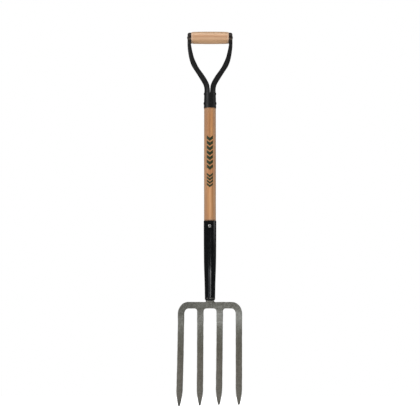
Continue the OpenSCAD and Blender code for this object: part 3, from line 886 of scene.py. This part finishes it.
def yoke_half(name, side):
    """One pressed half of the D-grip: half-round socket, channelled arm and the cup round the grip's end."""
    rings = []
    turn = 0.45 * MM
    for k, height in enumerate([0, *np.linspace(0.8 * MM, grip_rise, 118)]):
        shell, lining = yoke_section(height)
        z = socket_z + height
        ring = yoke_ring([(x, y, z) for x, y in shell], [(x, y, z) for x, y in lining])
        if k == 0:
            between = [Vector(a).lerp(Vector(b), 0.5) for a, b in zip(shell, lining)]
            edge = [(p.x, p.y, z - turn) for p in between]
            rings.append(yoke_ring(edge, edge))
        rings.append(ring)
    shell, lining = yoke_section(grip_rise)
    for k in range(1, 25):
        angle = k / 24 * math.pi / 2
        c, s = math.cos(angle), math.sin(angle)
        rings.append(yoke_ring([(x, y * c, grip_z - y * s) for x, y in shell],
                               [(x, y * c, grip_z - y * s) for x, y in lining]))
    verts, faces = loft(rings, caps=False)
    piece = new_mesh(name, ([(side * x, y, z) for x, y, z in verts], faces), sharp=38)
    dent(piece, ((0.10 * MM, 34 * MM), (0.03 * MM, 12 * MM)))
    return piece


def d_grip(paint):
    """Both pressed halves."""
    for node, side in (("yoke_left", -1), ("yoke_right", 1)):
        finish_piece(yoke_half(node + "_shell", side), node, paint)


# ---- cross grip ----

def cross_grip():
    """Turned wooden barrel with a bead and a groove at each end, and a tenon in each cup."""
    full = (grip_high.z - grip_low.z) / 2
    tenon = grip_high.x
    end = CLEAR_X - 0.1 * MM
    tenon_r = EYE_R - SHEET - 0.1 * MM
    groove = end - BEAD_W
    near = full - 0.75 * MM
    half = rounded([(0, tenon, 0), (tenon_r, tenon, 0.5 * MM), (tenon_r, end, 0),
                    (GRIP_END_R, end, 0.8 * MM), (near - 0.15 * MM, groove + 1.3 * MM, 1.2 * MM),
                    (near - 0.2 * MM, groove + 0.5 * MM, 0.2 * MM), (near - 0.9 * MM, groove, 0.15 * MM),
                    (near - 0.2 * MM, groove - 0.5 * MM, 0.25 * MM), (near + 0.05 * MM, groove - 2 * MM, 0)])
    barrel = [(full - 0.7 * MM * (x / groove) ** 2, x)
              for x in np.linspace(groove - 3 * MM, 0, 24)]
    side = [(p[0], p[1]) for p in half] + barrel
    profile = side + [(r, -x) for r, x in reversed(side[:-1])]
    piece = new_mesh("cross_grip_wood", turned(profile, "X", (0, 0, grip_z), segments=128), sharp=50)
    return finish_piece(piece, "cross_grip", grip_wood())


# ---- studio ----

def area_light(name, place, aim, width, height, power, colour=(1, 1, 1)):
    """A soft rectangular light, hidden from the camera, that faces a point."""
    data = bpy.data.lights.new(name, "AREA")
    data.shape = "RECTANGLE"
    data.size = width
    data.size_y = height
    data.energy = power
    data.color = colour
    lamp = bpy.data.objects.new(name, data)
    lamp.location = place
    lamp.rotation_euler = (Vector(aim) - Vector(place)).to_track_quat("-Z", "Y").to_euler()
    lamp.visible_camera = False
    bpy.context.scene.collection.objects.link(lamp)
    return lamp


def floor():
    """A plain pale round floor, lit from within enough to stay near white, and kept out of reflections."""
    verts, faces = turned([(0, -0.01), (4, -0.01), (4, 0), (0, 0)], segments=96)
    piece = new_mesh("studio_floor", (verts, faces))
    s = Shader("studio_floor")
    s.set(Base_Color=(0.82, 0.82, 0.82, 1), Roughness=0.9, Emission_Color=(1, 1, 1, 1),
          Emission_Strength=0.80, Specular_IOR_Level=0.1)
    piece.data.materials.append(s.material)
    piece.visible_glossy = False


def world():
    """White behind the object, soft grey light from the room, and a darker room in what gloss reflects."""
    made = bpy.data.worlds.new("studio_world")
    made.use_nodes = True
    tree = made.node_tree
    nodes, link = tree.nodes, tree.links.new
    coord = nodes.new("ShaderNodeTexCoord")
    parts = nodes.new("ShaderNodeSeparateXYZ")
    link(coord.outputs["Generated"], parts.inputs["Vector"])
    path = nodes.new("ShaderNodeLightPath")

    def gradient(low, high, start=-0.2, end=0.9):
        """Brightness that goes from low to high between two heights of the sky."""
        rise = nodes.new("ShaderNodeMapRange")
        rise.inputs["From Min"].default_value = start
        rise.inputs["From Max"].default_value = end
        rise.inputs["To Min"].default_value = low
        rise.inputs["To Max"].default_value = high
        link(parts.outputs["Z"], rise.inputs["Value"])
        return rise.outputs["Result"]

    def brighter(a, b):
        """The larger of two values."""
        larger = nodes.new("ShaderNodeMath")
        larger.operation = "MAXIMUM"
        link(a, larger.inputs[0])
        link(b, larger.inputs[1])
        return larger.outputs["Value"]

    def choose(test, if_not, if_so):
        """One colour or the other, by the kind of ray."""
        mixer = nodes.new("ShaderNodeMix")
        mixer.data_type = "RGBA"
        a, b = [socket for socket in mixer.inputs if socket.type == "RGBA"][:2]
        link(if_not, a)
        if isinstance(if_so, tuple):
            b.default_value = if_so
        else:
            link(if_so, b)
        link(path.outputs[test], mixer.inputs["Factor"])
        return [socket for socket in mixer.outputs if socket.type == "RGBA"][0]

    mirrored = brighter(gradient(0.03, 0.14), gradient(0.36, 0.0, -0.6, -0.05))
    room = choose("Is Glossy Ray", gradient(0.38, 0.66), mirrored)
    link(choose("Is Camera Ray", room, (1, 1, 1, 1)), nodes["Background"].inputs["Color"])
    bpy.context.scene.world = made


def camera():
    """Long lens from the front, a little below the middle of the tool."""
    low, high = cad_box
    middle = Vector(((low[0] + high[0]) / 2, 0, (low[2] + high[2]) / 2 + 20 * MM))
    distance = 5.0
    rise = math.radians(-5.5)
    data = bpy.data.cameras.new("camera")
    data.sensor_width = 36
    view_width = 1.1545
    data.lens = data.sensor_width * distance / view_width
    made = bpy.data.objects.new("camera", data)
    made.location = middle + distance * Vector((0, -math.cos(rise), math.sin(rise)))
    made.rotation_euler = (middle - made.location).to_track_quat("-Z", "Y").to_euler()
    bpy.context.scene.collection.objects.link(made)
    bpy.context.scene.camera = made


def studio():
    """Floor, world, lights and camera."""
    floor()
    world()
    area_light("key", (-3.0, -2.0, 2.3), (0, 0, 0.5), 1.6, 1.6, 64)
    area_light("fill", (3.4, -0.2, 1.7), (0, 0, 0.5), 2.0, 2.0, 18)
    area_light("top", (0.1, -0.6, 2.9), (0, 0, 0.6), 1.6, 1.2, 16)
    area_light("panel_right", (0.9, -4.3, 0.165), (0, 0, 0.33), 1.5, 0.44, 12)
    area_light("panel_left", (-1.4, -4.1, 0.165), (0, 0, 0.33), 1.9, 0.44, 4.8, (0.85, 0.93, 1))
    camera()
    view = bpy.context.scene.view_settings
    view.view_transform = "Standard"
    view.look = "None"


# ---- the whole tool ----

satin = black_paint("satin_black", (13, 13, 13), 0.44, 0.0, 0.05, 0.6, cup_painted_reflections)
fork_head()
ferrule()
shaft()
ferrule_rivet()
d_grip(satin)
for rivet_node in ("socket_rivet_upper", "socket_rivet_lower"):
    socket_rivet(rivet_node, satin)
cross_grip()
grip_rod(satin)
studio()
